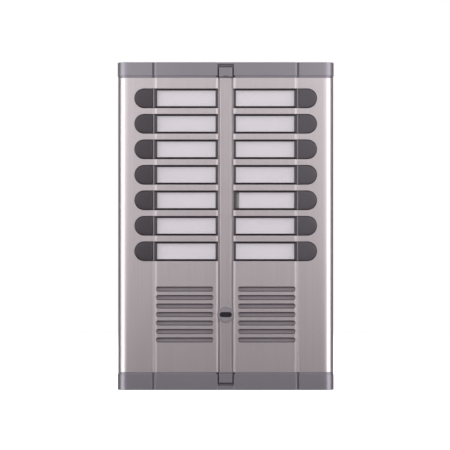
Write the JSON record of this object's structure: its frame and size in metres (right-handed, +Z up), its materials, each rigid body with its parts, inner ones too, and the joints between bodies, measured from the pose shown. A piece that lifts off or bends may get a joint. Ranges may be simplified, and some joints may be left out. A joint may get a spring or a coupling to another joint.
{
  "type": "door intercom panel",
  "caption": "Wall-mounted aluminium door intercom panel with columns of call keys beside lit name windows, louvres for speech, and plastic end caps.",
  "frame": {"origin": "centre of the back face, on the wall", "axes": "X across to the right seen from the front, +Y into the wall so that the front faces -Y, +Z up"},
  "size_m": [0.18, 0.0344, 0.2726],
  "materials": {
    "brushed_aluminium": "anodised, brushed along its length",
    "cap_plastic": "moulded, satin",
    "key_plastic": "moulded, satin",
    "window_clear": "clear, polished",
    "card_paper": "white card",
    "carrier_plastic": "moulded, satin",
    "box_plastic": "moulded, textured",
    "black_rubber": "moulded",
    "screw_steel": "zinc plated",
    "spring_steel": "drawn wire",
    "circuit_board": "solder mask",
    "lamp_plastic": "cast",
    "terminal_plastic": "moulded",
    "trimmer_plastic": "moulded",
    "rotor_plastic": "moulded",
    "basket_steel": "pressed, black",
    "cone_paper": "pressed paper",
    "magnet_iron": "sintered",
    "microphone_can": "drawn",
    "mesh_grey": "woven wire, grey"
  },
  "bodies": {
    "housing": {"left_front_profile": "brushed_aluminium", "right_front_profile": "brushed_aluminium", "centre_strip": "brushed_aluminium", "badge": "cap_plastic", "top_end_cap": "cap_plastic", "bottom_end_cap": "cap_plastic", "top_screw_cover": "cap_plastic", "bottom_screw_cover": "cap_plastic", "closing_screws": "screw_steel", "tapping_screws": "screw_steel", "back_box": "box_plastic", "wall_gasket": "black_rubber", "cable_grommet": "black_rubber", "left_key_carrier": "carrier_plastic", "right_key_carrier": "carrier_plastic", "left_key_board": "circuit_board", "right_key_board": "circuit_board", "key_switches": "carrier_plastic", "return_springs": "spring_steel", "name_cards": "card_paper", "card_lamps": "lamp_plastic", "terminal_blocks": "terminal_plastic", "speaker_basket": "basket_steel", "speaker_cone": "cone_paper", "speaker_magnet": "magnet_iron", "audio_board": "circuit_board", "microphone": "microphone_can", "microphone_boot": "black_rubber", "insect_mesh": "mesh_grey", "trimmer_bases": "trimmer_plastic", "window_left_1": "window_clear", "window_left_2": "window_clear", "window_left_3": "window_clear", "window_left_4": "window_clear", "window_left_5": "window_clear", "window_left_6": "window_clear", "window_left_7": "window_clear", "window_right_1": "window_clear", "window_right_2": "window_clear", "window_right_3": "window_clear", "window_right_4": "window_clear", "window_right_5": "window_clear", "window_right_6": "window_clear", "window_right_7": "window_clear"},
    "key_left_1": {"key_left_1": "key_plastic"},
    "key_left_2": {"key_left_2": "key_plastic"},
    "key_left_3": {"key_left_3": "key_plastic"},
    "key_left_4": {"key_left_4": "key_plastic"},
    "key_left_5": {"key_left_5": "key_plastic"},
    "key_left_6": {"key_left_6": "key_plastic"},
    "key_left_7": {"key_left_7": "key_plastic"},
    "key_right_1": {"key_right_1": "key_plastic"},
    "key_right_2": {"key_right_2": "key_plastic"},
    "key_right_3": {"key_right_3": "key_plastic"},
    "key_right_4": {"key_right_4": "key_plastic"},
    "key_right_5": {"key_right_5": "key_plastic"},
    "key_right_6": {"key_right_6": "key_plastic"},
    "key_right_7": {"key_right_7": "key_plastic"},
    "speaker_volume": {"speaker_volume": "rotor_plastic"},
    "microphone_volume": {"microphone_volume": "rotor_plastic"}
  },
  "joints": [
    {"name": "key_left_1_press", "type": "slide", "parent": "housing", "child": "key_left_1", "axis": [0, 1, 0], "range_m": [0, 0.0012], "stiffness_N_per_m": 400, "springref_m": -0.003, "deforming": ["return_springs"]},
    {"name": "key_left_2_press", "type": "slide", "parent": "housing", "child": "key_left_2", "axis": [0, 1, 0], "range_m": [0, 0.0012], "stiffness_N_per_m": 400, "springref_m": -0.003, "deforming": ["return_springs"]},
    {"name": "key_left_3_press", "type": "slide", "parent": "housing", "child": "key_left_3", "axis": [0, 1, 0], "range_m": [0, 0.0012], "stiffness_N_per_m": 400, "springref_m": -0.003, "deforming": ["return_springs"]},
    {"name": "key_left_4_press", "type": "slide", "parent": "housing", "child": "key_left_4", "axis": [0, 1, 0], "range_m": [0, 0.0012], "stiffness_N_per_m": 400, "springref_m": -0.003, "deforming": ["return_springs"]},
    {"name": "key_left_5_press", "type": "slide", "parent": "housing", "child": "key_left_5", "axis": [0, 1, 0], "range_m": [0, 0.0012], "stiffness_N_per_m": 400, "springref_m": -0.003, "deforming": ["return_springs"]},
    {"name": "key_left_6_press", "type": "slide", "parent": "housing", "child": "key_left_6", "axis": [0, 1, 0], "range_m": [0, 0.0012], "stiffness_N_per_m": 400, "springref_m": -0.003, "deforming": ["return_springs"]},
    {"name": "key_left_7_press", "type": "slide", "parent": "housing", "child": "key_left_7", "axis": [0, 1, 0], "range_m": [0, 0.0012], "stiffness_N_per_m": 400, "springref_m": -0.003, "deforming": ["return_springs"]},
    {"name": "key_right_1_press", "type": "slide", "parent": "housing", "child": "key_right_1", "axis": [0, 1, 0], "range_m": [0, 0.0012], "stiffness_N_per_m": 400, "springref_m": -0.003, "deforming": ["return_springs"]},
    {"name": "key_right_2_press", "type": "slide", "parent": "housing", "child": "key_right_2", "axis": [0, 1, 0], "range_m": [0, 0.0012], "stiffness_N_per_m": 400, "springref_m": -0.003, "deforming": ["return_springs"]},
    {"name": "key_right_3_press", "type": "slide", "parent": "housing", "child": "key_right_3", "axis": [0, 1, 0], "range_m": [0, 0.0012], "stiffness_N_per_m": 400, "springref_m": -0.003, "deforming": ["return_springs"]},
    {"name": "key_right_4_press", "type": "slide", "parent": "housing", "child": "key_right_4", "axis": [0, 1, 0], "range_m": [0, 0.0012], "stiffness_N_per_m": 400, "springref_m": -0.003, "deforming": ["return_springs"]},
    {"name": "key_right_5_press", "type": "slide", "parent": "housing", "child": "key_right_5", "axis": [0, 1, 0], "range_m": [0, 0.0012], "stiffness_N_per_m": 400, "springref_m": -0.003, "deforming": ["return_springs"]},
    {"name": "key_right_6_press", "type": "slide", "parent": "housing", "child": "key_right_6", "axis": [0, 1, 0], "range_m": [0, 0.0012], "stiffness_N_per_m": 400, "springref_m": -0.003, "deforming": ["return_springs"]},
    {"name": "key_right_7_press", "type": "slide", "parent": "housing", "child": "key_right_7", "axis": [0, 1, 0], "range_m": [0, 0.0012], "stiffness_N_per_m": 400, "springref_m": -0.003, "deforming": ["return_springs"]},
    {"name": "speaker_volume_turn", "type": "hinge", "parent": "housing", "child": "speaker_volume", "pos_m": [0.05765, -0.0197, -0.105], "axis": [0, -1, 0], "range_deg": [-135, 135]},
    {"name": "microphone_volume_turn", "type": "hinge", "parent": "housing", "child": "microphone_volume", "pos_m": [0.06965, -0.0197, -0.105], "axis": [0, -1, 0], "range_deg": [-135, 135]}
  ]
}
